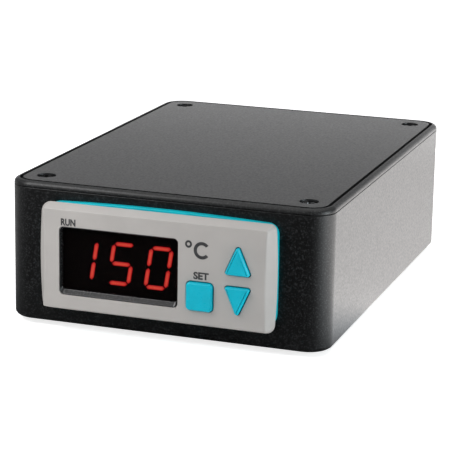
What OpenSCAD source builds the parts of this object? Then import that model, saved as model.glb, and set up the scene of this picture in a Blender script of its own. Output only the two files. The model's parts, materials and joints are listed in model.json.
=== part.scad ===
// Bench temperature controller for a reflow oven.
// A flat black case with a screwed lid, a panel controller in its front wall,
// and a mains inlet, power switch, heater outlet and sensor socket in its rear wall.
// Millimetres. +X is right, -Y is the front, +Z is up; z = 0 is the surface it stands on.

/* [Case] */
// Width of the case
case_w = 101; // [100:1:120]
// Depth of the case, front wall to rear wall
case_d = 139; // [138:1:180]
// Height of the case without its feet
case_h = 43; // [42:0.5:50]
// Radius of the four upright corners
corner_r = 7.6; // [6:0.2:8]
// Thickness of walls and floor
wall_t = 2.5; // [2.2:0.1:2.6]
// Radius along the bottom edge
bottom_r = 1.5; // [0.8:0.1:1.6]
// Height of the lid's visible edge
lid_edge = 1.7; // [1.6:0.1:1.8]
// Height of the open seam under the lid's edge
seam_h = 0.2; // [0.1:0.1:0.4]
// Radius along the lid's top edge
lid_r = 1.5; // [0.8:0.1:1.5]
// Distance of the groove in the lid's top from the case's faces
groove_inset = 1.6; // [1.6:0.1:3]
// Width of that groove
groove_w = 1.1; // [0.3:0.1:1.4]

/* [Lid screws] */
// Distance of a screw from the side wall's face
screw_inset_x = 9; // [8.8:0.1:10]
// Distance of a screw from the front or rear wall's face
screw_inset_y = 9.5; // [9:0.1:11]
// Diameter of a screw's head
screw_head_d = 5.6; // [5:0.1:6]

/* [Feet] */
// Height of a rubber foot
foot_h = 1.5; // [1:0.1:3]
// Diameter of a rubber foot
foot_d = 10; // [8:0.5:14]

/* [Controller front] */
// Width of the front cover
cover_w = 74.4; // [74:0.1:75]
// Height of the front cover
cover_h = 32.9; // [32.4:0.1:33]
// Depth of the front cover
cover_t = 3.5; // [3.4:0.1:3.8]
// Thickness of the coloured frame behind the cover
frame_t = 1.9; // [1.7:0.1:2]
// Sideways place of the controller's centre
panel_x = -1.3; // [-2:0.1:1]
// Rise of the bow in the frame's top edge over the cover's
frame_bow = 0.7; // [0.3:0.1:1]
// Height of the buttons above the cover
button_rise = 1.2; // [0.8:0.1:1.4]
// Width of the display window
window_w = 37.6; // [36:0.1:38]
// Height of the display window
window_h = 21; // [20:0.1:21.5]

/* [Display] */
// Height of a digit
digit_h = 13.3; // [12:0.1:13.6]
// Width of a digit
digit_w = 8.3; // [7.6:0.1:8.4]
// Distance from digit to digit
digit_pitch = 11.8; // [11.5:0.1:12]
// Lean of the digits in degrees
digit_lean = 9; // [0:1:10]

/* [Rear wall] */
// Sideways place of the mains inlet
inlet_x = 24.7; // [24.6:0.1:24.8]
// Sideways place of the heater outlet
outlet_x = -5.6; // [-5.7:0.1:-5.5]
// Sideways place of the power switch and the sensor socket
switch_x = -29.9; // [-30.1:0.1:-29.7]

/* [Hidden] */
$fn = 48;
eps = 0.01;
touch = 0.02;

// Places along Y are counted from the case's front face, and heights from its underside.
front_proud = cover_t + frame_t + button_rise;
rear_proud = 4.2;
front_y = front_proud - (case_d + front_proud + rear_proud) / 2;
panel_z = case_h / 2;
cover_front = -(cover_t + frame_t);
cover_back = -frame_t;
cover_skin = 1.6;
skin_back = cover_front + cover_skin;

// Lid and seam
lid_t = 2.5;
groove_depth = 1;
rim_step = 1.3;
base_top = case_h - lid_edge - seam_h;
lid_under = case_h - lid_t;
lip_depth = 3;
lip_t = 1.4;
lip_gap = 0.1;
boss_r = 3.2;
insert_r = 2.25;
insert_bore_r = 1.55;
insert_l = 5;
screw_r = 1.5;
screw_l = 6.5;
head_h = 1.7;
head_sink = 0.5;
screw_hole_r = 1.7;
screw_x = case_w / 2 - screw_inset_x;
screw_places = [
    for (side = [-1, 1], y = [screw_inset_y, case_d - screw_inset_y]) [side * screw_x, y]
];
foot_inset = 14;

// Panel cut-out and controller housing
cutout_w = 71;
cutout_h = 29;
housing_w = 70.4;
housing_h = 28.4;
housing_l = 50;
housing_t = 1.6;
back_cover_t = 2;
gasket_t = 0.6;
gasket_w = 72.6;
gasket_h = 30.8;

// Cover and window
cover_shift = [0.2, 0.25];
cover_corners = [1.8, 3, 2.6, 2.6];
bevel_side = 2.6;
bevel_top = 1.3;
side_bow = 0.65;
frame_corners = [3, 6, 6, 6];
frame_inset = 0.2;
pocket_w = 66;
pocket_h = 25;
window_x = -10.75;
window_z = -0.2;
window_corner = 1.4;
window_front = cover_front + 0.9;
window_t = 1;
window_rim = 1.1;
window_gap = 0.1;

// Buttons: centre x, centre z, and outline
button_gap = 0.25;
button_edge = 0.4;
button_lip = 0.7;
button_lip_t = 0.8;
set_place = [14.9, -6.3];
set_size = [8.1, 8.5];
arrow_x = 26.5;
up_place = [arrow_x, 5.45];
down_place = [arrow_x, -6.35];
arrow_w = 7.4;
arrow_h = 8.2;
arrow_corner = 0.6;
arrow_stem = 1.5;
up_stem = up_place - [0, arrow_stem];
down_stem = down_place + [0, arrow_stem];
arrow_lip = [6.8, 5.2];
stem_r = 1.6;
plunger_r = 1.7;
plunger_fit = 0.05;
plunger_top = -0.5;
switch_front = 0.8;
switch_size = 6;
board_y = 4.4;
board_t = 1.6;

// Display module
module_w = 37;
module_h = 19;
module_front = skin_back + window_t + 0.2;
segment_t = 0.15;
segment_w = 1.25;
segment_gap = 0.28;
digit_rise = 0.15;
// Segments that are lit for each digit, in the order a to g.
digit_one = [0, 1, 1, 0, 0, 0, 0];
digit_five = [1, 0, 1, 1, 0, 1, 1];
digit_zero = [1, 1, 1, 1, 1, 1, 0];
digits = [digit_one, digit_five, digit_zero];

// Controller insides
main_board_z = -9.6;
main_board_w = 65;
main_board_y = 7;
main_board_l = 42;
terminal_y = 43;
terminal_l = 12;
terminal_w = 60;
terminal_h = 10;
terminal_count = 12;
terminal_pitch = 5;

// Rear devices, with their flanges on the rear face
flange_t = 2.5;
inlet_z = panel_z;
inlet_flange = [30.7, 33.5];
inlet_body = [26.6, 30.6];
inlet_l = 25;
inlet_flange_t = 3;
device_gap = 0.2;
socket_z = 6.2;
socket_w = 24.2;
socket_h = 16.4;
socket_l = 15;
pin_w = 2;
pin_h = 4;
pin_x = 7;
pin_drop = 2;
tab_l = 8;
tab_w = 6.3;
tab_t = 0.8;
drawer_z = -9.3;
drawer_w = 22;
drawer_h = 9;
drawer_l = 21;
drawer_gap = 0.15;
fuse_l = 20;
fuse_r = 2.4;
fuse_cap_r = 2.6;
fuse_cap_l = 5;
fuse_y = 6;
outlet_flange = [29, 28];
outlet_body = [26.6, 24];
outlet_l = 22;
moat_w = 24.6;
moat_h = 17.6;
core_w = 20.4;
core_h = 13.4;
switch_z = 27.6;
switch_flange = [15, 21];
switch_body = [12.8, 18.8];
switch_l = 16;
rocker_w = 10.2;
rocker_half = 8;
rocker_pivot = -1.5;
rocker_pin_r = 1;
rocker_pin_fit = 0.05;
rocker_tilt = 8;
sensor_z = 10.2;
sensor_flange = [18, 12.6];
sensor_body = [15, 9.8];
sensor_l = 16;

// Solid-state relay
ssr_y = 64;
ssr_w = 58;
ssr_l = 38;
ssr_plate_t = 2;
ssr_h = 20;
ssr_hole_x = 24;

wire_r = 0.9;
wire_sides = 8;

// Colours
case_black = "#1b1b1c";
cover_grey = "#b6b1ad";
teal = "#00b3c2";
board_green = "#1d5a35";
plate_metal = "#c9ccce";
brass = "#c49a4a";

module in_case() { translate([0, front_y, foot_h]) children(); }

module in_panel() { in_case() translate([panel_x, 0, panel_z]) children(); }

module in_rear(x, z) { in_case() translate([x, case_d, z]) children(); }

module rounded(w, h, r) {
    square([w - 2 * r, h], center = true);
    square([w, h - 2 * r], center = true);
    for (sx = [-1, 1], sy = [-1, 1]) translate([sx * (w / 2 - r), sy * (h / 2 - r)]) circle(r);
}

// Extrudes a drawing in X and Z from y0 to y1.
module along_y(y0, y1) { translate([0, y1, 0]) rotate([90, 0, 0]) linear_extrude(y1 - y0) children(); }

// Centres a drawing on the case's plan.
module on_plan(z0, z1) { translate([0, case_d / 2, z0]) linear_extrude(z1 - z0) children(); }

module box_xyz(w, l, h) { translate([-w / 2, 0, -h / 2]) cube([w, l, h]); }

module case_outline(inset) { rounded(case_w - 2 * inset, case_d - 2 * inset, corner_r - inset); }

// Thin slice of the case's outline at an angle around an edge of radius r; up is 1 for the
// top edge at height z and -1 for the bottom edge.
module edge_slice(z, r, angle, up) {
    on_plan(z - up * r * (1 - sin(angle)) - eps / 2, z - up * r * (1 - sin(angle)) + eps / 2)
        case_outline(r * (1 - cos(angle)));
}

module base_shell() {
    color(case_black) in_case() {
        difference() {
            hull() {
                on_plan(bottom_r, base_top) case_outline(0);
                on_plan(0, eps) case_outline(bottom_r);
                for (angle = [22.5, 45, 67.5]) edge_slice(0, bottom_r, angle, -1);
            }
            on_plan(wall_t, case_h) case_outline(wall_t);
            on_plan(lid_under, case_h) case_outline(rim_step);
            translate([panel_x, 0, panel_z])
                along_y(-1, wall_t + 1) square([cutout_w, cutout_h], center = true);
            rear_cutout(inlet_x, inlet_z, inlet_body);
            rear_cutout(outlet_x, panel_z, outlet_body);
            rear_cutout(switch_x, switch_z, switch_body);
            rear_cutout(switch_x, sensor_z, sensor_body);
        }
        for (place = screw_places) boss(place);
    }
}

module rear_cutout(x, z, size) {
    translate([x, case_d, z]) along_y(-wall_t - 1, 1)
        square([size[0] + 2 * device_gap, size[1] + 2 * device_gap], center = true);
}

module boss(place) {
    translate([place[0], place[1], wall_t - eps]) difference() {
        cylinder(r = boss_r, h = lid_under - wall_t + eps);
        translate([0, 0, lid_under - wall_t - screw_l]) cylinder(r = insert_r, h = screw_l + 1);
    }
}

module lid() {
    color(case_black) in_case() difference() {
        union() {
            hull() {
                on_plan(case_h - lid_edge, case_h - lid_r) case_outline(0);
                on_plan(case_h - eps, case_h) case_outline(lid_r);
                for (angle = [22.5, 45, 67.5]) edge_slice(case_h, lid_r, angle, 1);
            }
            on_plan(lid_under, case_h - lid_edge + eps) case_outline(rim_step + lip_gap);
            lid_lip();
        }
        on_plan(case_h - groove_depth, case_h + 1) difference() {
            case_outline(groove_inset);
            case_outline(groove_inset + groove_w);
        }
        for (place = screw_places) translate([place[0], place[1], 0]) {
            translate([0, 0, lid_under - 1]) cylinder(r = screw_hole_r, h = lid_t + 2);
            translate([0, 0, case_h - head_sink - head_h])
                cylinder(r1 = screw_hole_r, r2 = screw_head_d / 2 + 0.1, h = head_h);
            translate([0, 0, case_h - head_sink - touch])
                cylinder(r = screw_head_d / 2 + 0.1, h = 1);
        }
    }
}

module lid_lip() {
    difference() {
        on_plan(lid_under - lip_depth, lid_under + eps) case_outline(wall_t + lip_gap);
        on_plan(lid_under - lip_depth - 1, lid_under) case_outline(wall_t + lip_gap + lip_t);
        for (place = screw_places) translate([place[0], place[1], lid_under - lip_depth - 1])
            cylinder(r = boss_r + 0.4, h = lip_depth + 1);
    }
}

module lid_screws() {
    color("#202022") in_case() for (place = screw_places)
        translate([place[0], place[1], case_h - head_sink]) lid_screw();
}

module lid_screw() {
    difference() {
        union() {
            translate([0, 0, -head_h]) cylinder(r1 = screw_r, r2 = screw_head_d / 2, h = head_h);
            translate([0, 0, -head_h - screw_l + 1]) cylinder(r = screw_r, h = screw_l);
        }
        for (turn = [0, 90]) rotate([0, 0, turn + 30])
            translate([-1.5, -0.35, -1]) cube([3, 0.7, 1.5]);
    }
}

module threaded_inserts() {
    color(brass) in_case() for (place = screw_places)
        translate([place[0], place[1], lid_under - insert_l]) difference() {
            cylinder(r = insert_r, h = insert_l);
            translate([0, 0, -1]) cylinder(r = insert_bore_r, h = insert_l + 2);
        }
}

module rubber_feet() {
    color("#2b2b2b") for (sx = [-1, 1], sy = [-1, 1])
        translate([sx * (case_w / 2 - foot_inset), 0, 0])
            translate([0, front_y + case_d / 2 + sy * (case_d / 2 - foot_inset), 0])
                cylinder(d = foot_d, h = foot_h);
}

// Corner i of a rounded rectangle at step k of the six that turn it.
function corner_point(w, h, r, i, k) = [
    (i == 0 || i == 3 ? 1 : -1) * (w / 2 - r) + r * cos(90 * i + 15 * k),
    (i < 2 ? 1 : -1) * (h / 2 - r) + r * sin(90 * i + 15 * k)
];

// Rounded rectangle whose sides bow outwards between their corners; radii run from the top
// right corner round by the top left one.
module bowed(w, h, radii, bow_x, bow_z) {
    outline = [
        for (i = [0:3]) let (
            j = (i + 1) % 4,
            end = corner_point(w, h, radii[i], i, 6),
            next = corner_point(w, h, radii[j], j, 0)
        ) each [
            for (k = [0:6]) corner_point(w, h, radii[i], i, k),
            for (k = [1:11]) end + (next - end) * k / 12
        ]
    ];
    polygon([
        for (p = outline) [
            p[0] * (1 - 2 * bow_x / w * pow(2 * p[1] / h, 2)),
            p[1] * (1 - 2 * bow_z / h * pow(2 * p[0] / w, 2))
        ]
    ]);
}

// Section of the cover, full width near its back and narrower by a bevel at its front.
module bevelled(w, bevel) {
    polygon([
        [-w / 2 - 0.05, cover_back + 1], [w / 2 + 0.05, cover_back + 1],
        [w / 2 + 0.05, cover_back], [w / 2 - bevel, cover_front - touch],
        [-w / 2 + bevel, cover_front - touch], [-w / 2 - 0.05, cover_back]
    ]);
}

module front_cover() {
    color(cover_grey) in_panel() difference() {
        intersection() {
            along_y(cover_front, cover_back) translate(cover_shift)
                bowed(cover_w, cover_h, cover_corners, side_bow, 0);
            translate([cover_shift[0], 0, -cover_h]) linear_extrude(2 * cover_h)
                bevelled(cover_w, bevel_side);
            translate([-cover_w, 0, cover_shift[1]]) rotate([0, 90, 0])
                linear_extrude(2 * cover_w) bevelled(cover_h, bevel_top);
        }
        along_y(skin_back, 0) rounded(pocket_w, pocket_h, 1);
        along_y(cover_front - 1, 0) translate([window_x, window_z])
            rounded(window_w, window_h, window_corner);
        along_y(cover_front - 1, 0) translate(set_place)
            rounded(set_size[0] + 2 * button_gap, set_size[1] + 2 * button_gap, 1.2);
        along_y(cover_front - 1, 0) translate(up_place) arrow(button_gap);
        along_y(cover_front - 1, 0) translate(down_place) rotate(180) arrow(button_gap);
    }
}

// Triangle with rounded corners that points up; grow moves its sides outwards.
module arrow(grow) {
    r = arrow_corner + grow;
    x = arrow_w / 2 - arrow_corner;
    z = arrow_h / 2 - arrow_corner;
    tilt = atan2(x, 2 * z);
    corners = [[x, -z], [0, z], [-x, -z]];
    turns = [-90, tilt, 180 - tilt, 270];
    polygon([
        for (i = [0:2], k = [0:6]) let (angle = turns[i] + (turns[i + 1] - turns[i]) * k / 6)
            corners[i] + r * [cos(angle), sin(angle)]
    ]);
}

module front_frame() {
    color(teal) in_panel() difference() {
        along_y(cover_back, 0) translate(cover_shift) intersection() {
            bowed(cover_w - 0.5, cover_h + 2 * frame_bow, frame_corners, 0.2, 0.95);
            translate([-cover_w, frame_inset - cover_h / 2]) square([2 * cover_w, 2 * cover_h]);
        }
        along_y(cover_back - 1, 1) rounded(pocket_w, pocket_h, 1);
        along_y(-gasket_t, 1) square([gasket_w, gasket_h], center = true);
    }
}

module panel_gasket() {
    color("#303030") in_panel() difference() {
        along_y(-gasket_t, 0) square([gasket_w - 0.2, gasket_h - 0.2], center = true);
        along_y(-1, 1) square([housing_w + 0.2, housing_h + 0.2], center = true);
    }
}

module display_window() {
    color("#0c0506") in_panel() translate([window_x, 0, window_z]) {
        along_y(window_front, skin_back + eps)
            rounded(window_w - 2 * window_gap, window_h - 2 * window_gap, window_corner);
        along_y(skin_back, skin_back + window_t)
            rounded(window_w + 2 * window_rim, window_h + 2 * window_rim, window_corner);
    }
}

module display_module() {
    color("#26282a") in_panel() translate([window_x, 0, window_z])
        along_y(module_front, board_y) square([module_w, module_h], center = true);
}

function lean(p) = [p[0] + p[1] * tan(digit_lean), p[1]];

// A bar with pointed ends between two points that lie on a level or upright line.
module segment(a, b) {
    upright = a[0] == b[0];
    t = segment_w / 2;
    g = segment_gap;
    points = upright
        ? [[a[0], a[1] + g], [a[0] + t, a[1] + g + t], [a[0] + t, b[1] - g - t],
           [a[0], b[1] - g], [a[0] - t, b[1] - g - t], [a[0] - t, a[1] + g + t]]
        : [[a[0] + g, a[1]], [a[0] + g + t, a[1] + t], [b[0] - g - t, a[1] + t],
           [b[0] - g, a[1]], [b[0] - g - t, a[1] - t], [a[0] + g + t, a[1] - t]];
    polygon([for (p = points) lean(p)]);
}

module digit(lit) {
    x = (digit_w - digit_h * tan(digit_lean) * 0.35 - segment_w) / 2;
    z = (digit_h - segment_w) / 2;
    ends = [
        [[-x, z], [x, z]], [[x, 0], [x, z]], [[x, -z], [x, 0]], [[-x, -z], [x, -z]],
        [[-x, -z], [-x, 0]], [[-x, 0], [-x, z]], [[-x, 0], [x, 0]]
    ];
    for (i = [0:6]) if (lit[i]) segment(ends[i][0], ends[i][1]);
}

module display_segments() {
    color("#ff2d20") in_panel() translate([window_x, 0, window_z + digit_rise])
        along_y(module_front - segment_t, module_front)
            for (i = [0:2]) translate([(i - 1) * digit_pitch, 0]) digit(digits[i]);
}

module set_outline(grow) { rounded(set_size[0] + 2 * grow, set_size[1] + 2 * grow, 1.2 + grow); }

// A cap with a stepped top, a lip behind the cover and a stem. Its children are its full
// outline, the outline of its top, and its lip; the stem stands stem_z above its centre.
module button_cap(stem_z = 0) {
    top = cover_front - button_rise;
    along_y(top + button_edge, skin_back + touch) children(0);
    along_y(top, top + button_edge + eps) children(1);
    along_y(skin_back + touch, skin_back + touch + button_lip_t) children(2);
    along_y(skin_back + touch + button_lip_t - eps, plunger_top) translate([0, stem_z])
        circle(stem_r);
}

module set_button() {
    color(teal) in_panel() translate([set_place[0], 0, set_place[1]]) button_cap() {
        set_outline(0);
        set_outline(-button_edge);
        set_outline(button_lip);
    }
}

module up_button() {
    color(teal) in_panel() translate([up_place[0], 0, up_place[1]]) button_cap(-arrow_stem) {
        arrow(0);
        arrow(-button_edge);
        translate([0, -arrow_stem]) square(arrow_lip, center = true);
    }
}

module down_button() {
    color(teal) in_panel() translate([down_place[0], 0, down_place[1]]) button_cap(arrow_stem) {
        rotate(180) arrow(0);
        rotate(180) arrow(-button_edge);
        translate([0, arrow_stem]) square(arrow_lip, center = true);
    }
}

module plunger(place) {
    color("#3a2a20") in_panel() translate([place[0], 0, place[1]])
        along_y(plunger_top, switch_front + 2) circle(plunger_r);
}

module set_plunger() { plunger(set_place); }
module up_plunger() { plunger(up_stem); }
module down_plunger() { plunger(down_stem); }

module keypad_switches() {
    color("#8f9498") in_panel() for (place = [set_place, up_stem, down_stem])
        translate([place[0], 0, place[1]]) difference() {
            along_y(switch_front, board_y) square(switch_size, center = true);
            along_y(switch_front - 1, board_y - 0.6) circle(plunger_r + plunger_fit);
        }
}

module display_board() {
    color(board_green) in_panel() along_y(board_y, board_y + board_t)
        square([housing_w - 2 * housing_t - 0.4, housing_h - 2 * housing_t - 0.4], center = true);
}

module controller_housing() {
    color("#242526") in_panel() difference() {
        along_y(0, housing_l) square([housing_w, housing_h], center = true);
        along_y(-1, housing_l + 1)
            square([housing_w - 2 * housing_t, housing_h - 2 * housing_t], center = true);
    }
}

module mounting_clips() {
    color("#d8d8d2") in_panel() for (side = [-1, 1])
        translate([side * (housing_w / 2 + touch), 0, 0]) mirror([side < 0 ? 1 : 0, 0, 0]) {
            translate([0, wall_t, -4]) cube([1.1, 22, 8]);
            translate([0, 18, -6]) cube([3.5, 14, 12]);
        }
}

module controller_board() {
    color(board_green) in_panel() translate([0, main_board_y, main_board_z + board_t / 2])
        box_xyz(main_board_w, main_board_l, board_t);
}

module on_board(x, y) {
    in_panel() translate([x, y, main_board_z + board_t + touch]) children();
}

module relay() {
    color("#2f6fb2") on_board(22, 12) translate([-9.5, 0, 0]) cube([19, 15.5, 15]);
}

module transformer() {
    color("#c8a23a") on_board(-16, 12) {
        translate([-14, 2, 3]) cube([28, 20, 12]);
        translate([-9, 0, 0]) cube([18, 24, 18]);
    }
}

module capacitors() {
    color("#2a2f6b") for (x = [2, 8.5]) on_board(x, 34) cylinder(d = 6, h = 11);
}

module terminal_places() {
    for (i = [0:terminal_count - 1])
        translate([(i - (terminal_count - 1) / 2) * terminal_pitch, 0, 0]) children();
}

module terminal_block() {
    color("#3f7f4c") on_board(0, terminal_y) difference() {
        translate([-terminal_w / 2, 0, 0]) cube([terminal_w, terminal_l, terminal_h]);
        terminal_places() translate([0, 0, 3]) along_y(terminal_l - 5, terminal_l + 1) circle(1.4);
        terminal_places() translate([0, 9.6, terminal_h - 2]) cylinder(r = 1.6, h = 3);
    }
}

module terminal_screws() {
    color(plate_metal) on_board(0, terminal_y) terminal_places()
        translate([0, 9.6, terminal_h - 2]) difference() {
            cylinder(r = 1.5, h = 1.4);
            translate([-2, -0.25, 0.7]) cube([4, 0.5, 1]);
        }
}

module controller_back_cover() {
    color("#242526") in_panel() difference() {
        along_y(housing_l, housing_l + back_cover_t) square([housing_w, housing_h], center = true);
        along_y(housing_l - 1, housing_l + back_cover_t + 1)
            translate([0, main_board_z + board_t + terminal_h / 2 - 0.2])
                square([terminal_w + 0.8, terminal_h + 0.8], center = true);
    }
}

// Socket recess with its two bevelled corners at the earth side.
module socket_outline(w, h) {
    cut = 5;
    polygon([
        [-w / 2, -h / 2], [w / 2, -h / 2], [w / 2, h / 2 - cut], [w / 2 - cut, h / 2],
        [-w / 2 + cut, h / 2], [-w / 2, h / 2 - cut]
    ]);
}

module mains_inlet() {
    color("#1d1d1e") in_rear(inlet_x, inlet_z) difference() {
        union() {
            along_y(0, inlet_flange_t) rounded(inlet_flange[0], inlet_flange[1], 2);
            along_y(-inlet_l, eps) square(inlet_body, center = true);
        }
        translate([0, 0, socket_z])
            along_y(inlet_flange_t - socket_l, inlet_flange_t + 1) socket_outline(socket_w, socket_h);
        translate([0, 0, drawer_z]) along_y(inlet_flange_t - drawer_l - 0.6, inlet_flange_t + 1)
            square([drawer_w + 2 * drawer_gap, drawer_h + 2 * drawer_gap], center = true);
        pin_blades();
    }
}

// Blades of the three mains pins, from behind the inlet to inside its socket.
module pin_blades() {
    for (pin = [[-pin_x, -pin_drop], [pin_x, -pin_drop], [0, pin_drop]])
        translate([pin[0], 0, socket_z + pin[1]])
            along_y(-inlet_l - 1, inlet_flange_t - 2) square([pin_w, pin_h], center = true);
}

module inlet_pins() {
    color(plate_metal) in_rear(inlet_x, inlet_z) {
        pin_blades();
        for (x = [-pin_x, pin_x]) tab(x, socket_z - pin_drop, -inlet_l - 1 + eps);
        tab(0, socket_z + pin_drop, -inlet_l - 1 + eps);
    }
}

// Flat push-on tab that points into the case from depth y.
module tab(x, z, y) {
    translate([x, y - tab_l, z]) translate([-tab_t / 2, 0, -tab_w / 2])
        cube([tab_t, tab_l, tab_w]);
}

module fuse_drawer() {
    color("#232325") in_rear(inlet_x, inlet_z + drawer_z) {
        difference() {
            along_y(inlet_flange_t - drawer_l, inlet_flange_t + touch)
                square([drawer_w, drawer_h], center = true);
            translate([-fuse_l / 2 - 0.5, inlet_flange_t - drawer_l + 1.5, -drawer_h / 2 + 1.4])
                cube([fuse_l + 1, 8.5, drawer_h]);
        }
        difference() {
            along_y(inlet_flange_t + touch, rear_proud)
                square([drawer_w - 2, drawer_h - 1], center = true);
            translate([-4, rear_proud - 0.7, 1]) cube([8, 1, 2]);
        }
    }
}

module in_fuse() {
    in_rear(inlet_x, inlet_z + drawer_z)
        translate([0, inlet_flange_t - drawer_l + fuse_y, -drawer_h / 2 + 1.4 + fuse_cap_r + touch])
            rotate([0, 90, 0]) children();
}

module fuse_tube() {
    color("#dfeef2", 0.5) in_fuse()
        cylinder(r = fuse_r, h = fuse_l - 2 * fuse_cap_l, center = true);
}

module fuse_caps() {
    color(plate_metal) in_fuse() for (end = [-1, 1])
        translate([0, 0, end * (fuse_l - fuse_cap_l) / 2])
            cylinder(r = fuse_cap_r, h = fuse_cap_l, center = true);
}

module switch_housing() {
    color("#1d1d1e") in_rear(switch_x, switch_z) difference() {
        union() {
            along_y(0, 2) rounded(switch_flange[0], switch_flange[1], 1.5);
            along_y(-switch_l, eps) square(switch_body, center = true);
        }
        along_y(-8.5, 3) square([rocker_w + 0.5, 2 * rocker_half + 1.4], center = true);
        translate([0, rocker_pivot, 0]) rotate([0, 90, 0])
            cylinder(r = rocker_pin_r + rocker_pin_fit, h = 12, center = true);
    }
}

// Drawn with its length along X, then turned upright.
module switch_rocker() {
    color("#141415") in_rear(switch_x, switch_z) translate([0, rocker_pivot, 0])
        rotate([0, 90, 0]) rotate([0, 0, rocker_tilt]) {
            translate([0, 0, -rocker_w / 2]) linear_extrude(rocker_w) polygon([
                [-rocker_half, 3.8], [-rocker_half + 0.4, -0.5], [-3, -4.2], [3, -4.2],
                [rocker_half - 0.4, -0.5], [rocker_half, 3.8], [4, 3.2], [0, 3], [-4, 3.2]
            ]);
            cylinder(r = rocker_pin_r, h = 11.8, center = true);
        }
}

module switch_tabs() {
    color(plate_metal) in_rear(switch_x, switch_z)
        for (z = [-5, 5]) tab(0, z, -switch_l - touch);
}

module outlet_socket() {
    color("#1d1d1e") in_rear(outlet_x, panel_z) difference() {
        union() {
            along_y(0, flange_t) rounded(outlet_flange[0], outlet_flange[1], 2);
            along_y(-outlet_l, eps) square(outlet_body, center = true);
        }
        along_y(flange_t - socket_l, flange_t + 1) difference() {
            socket_outline(moat_w, moat_h);
            socket_outline(core_w, core_h);
        }
        for (slot = [[-pin_x, -pin_drop / 2], [pin_x, -pin_drop / 2], [0, pin_drop]])
            translate([slot[0], 0, slot[1]]) along_y(flange_t - socket_l, flange_t + 1)
                square([pin_w + 0.4, pin_h + 0.4], center = true);
    }
}

module outlet_contacts() {
    color(plate_metal) in_rear(outlet_x, panel_z)
        for (x = [-pin_x, 0, pin_x]) tab(x, 0, -outlet_l - touch);
}

module sensor_socket() {
    color("#d9a514") in_rear(switch_x, sensor_z) difference() {
        union() {
            along_y(0, flange_t) rounded(sensor_flange[0], sensor_flange[1], 1.5);
            along_y(-sensor_l, eps) square(sensor_body, center = true);
        }
        for (slot = [[-4, 3.4], [4, 2.5]]) translate([slot[0], 0, 0])
            along_y(-10, flange_t + 1) square([0.9, slot[1]], center = true);
    }
}

module sensor_contacts() {
    color(plate_metal) in_rear(switch_x, sensor_z) for (x = [-4, 4])
        translate([x, 0, 0]) along_y(-sensor_l - 5, -sensor_l - touch) square([0.8, 3], center = true);
}

module ssr_plate() {
    color(plate_metal) in_case() translate([0, ssr_y, wall_t + touch]) difference() {
        translate([-ssr_w / 2 - 4, 0, 0]) cube([ssr_w + 8, ssr_l, ssr_plate_t]);
        for (side = [-1, 1]) translate([side * ssr_hole_x, ssr_l / 2, -1])
            cylinder(r = 1.6, h = ssr_plate_t + 2);
    }
}

module ssr_body() {
    color("#e4e4e0") in_case() translate([0, ssr_y, wall_t + ssr_plate_t + 2 * touch]) difference() {
        translate([-ssr_w / 2, 0, 0]) cube([ssr_w, ssr_l, ssr_h]);
        for (side = [-1, 1]) translate([side * ssr_hole_x, ssr_l / 2, -1]) {
            cylinder(r = 2.2, h = ssr_h + 2);
            translate([0, 0, 5]) cylinder(r = 4, h = ssr_h);
        }
    }
}

module ssr_screws() {
    color(plate_metal) in_case() for (side = [-1, 1])
        translate([side * ssr_hole_x, ssr_y + ssr_l / 2, wall_t + 3 * touch]) {
            cylinder(r = 1.5, h = 8);
            translate([0, 0, ssr_plate_t + 4 + 3 * touch]) cylinder(r = 3, h = 2.4);
        }
}

// Round wire swept along a list of points, one ring of corners for each point.
module wire(path) {
    last = len(path) - 1;
    rings = [for (i = [0:last]) wire_ring(path, i, last)];
    points = [for (ring = rings) for (p = ring) p];
    n = wire_sides;
    walls = [
        for (i = [0:last - 1], k = [0:n - 1])
            let (a = i * n + k, b = i * n + (k + 1) % n) each [[a, b + n, b], [a, a + n, b + n]]
    ];
    cap_a = [for (k = [0:n - 1]) k];
    cap_b = [for (k = [n - 1:-1:0]) last * n + k];
    polyhedron(points, concat(walls, [cap_b], [cap_a]), convexity = 4);
}

function unit(v) = v / norm(v);

function wire_ring(path, i, last) =
    let (
        ahead = path[min(i + 1, last)],
        behind = path[max(i - 1, 0)],
        dir = unit(ahead - behind),
        side = unit(cross(dir, abs(dir[2]) > 0.9 ? [1, 0, 0] : [0, 0, 1])),
        up = cross(side, dir)
    )
    [for (k = [0:wire_sides - 1]) let (t = 360 * k / wire_sides)
        path[i] + wire_r * (cos(t) * side - sin(t) * up)];

// Points of a smooth curve through the listed route, with steps points per stretch.
function smooth(route, steps = 5) = [
    for (i = [0:len(route) - 2], s = [0:steps - 1]) spline(route, i, s / steps),
    route[len(route) - 1]
];

function spline(route, i, t) =
    let (
        last = len(route) - 1,
        a = route[max(i - 1, 0)], b = route[i],
        c = route[i + 1], d = route[min(i + 2, last)]
    )
    0.5 * (2 * b + (c - a) * t + (2 * a - 5 * b + 4 * c - d) * t * t
        + (3 * b - 3 * c + d - a) * t * t * t);

// Wire routes, counted like everything in the case.
terminal_z = panel_z + main_board_z + board_t + 3;
terminal_end = terminal_y + terminal_l + 0.3;
function at_terminal(i) = [panel_x + (i - 5.5) * terminal_pitch, terminal_end, terminal_z];

function before_terminal(i) = at_terminal(i) + [0, 2.4, 0.6];

module line_wires() {
    color("#6b3d1e") in_case() {
        wire(smooth([
            [inlet_x + pin_x, 104.4, 25.7], [31.5, 98, 30], [20, 95, 34.6], [-8, 95, 34.8],
            [-22, 99, 35], [switch_x, 107, 34.2], [switch_x, 114.4, switch_z + 5]
        ]));
        wire(smooth([
            [switch_x, 114.4, switch_z - 5], [switch_x, 107, 24.5], [-30.5, 98, 29],
            [-30.5, 78, 29.5], [-28.5, 67, 28.5], [-26, 60.8, 24.5], before_terminal(1),
            at_terminal(1)
        ]));
    }
}

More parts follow.
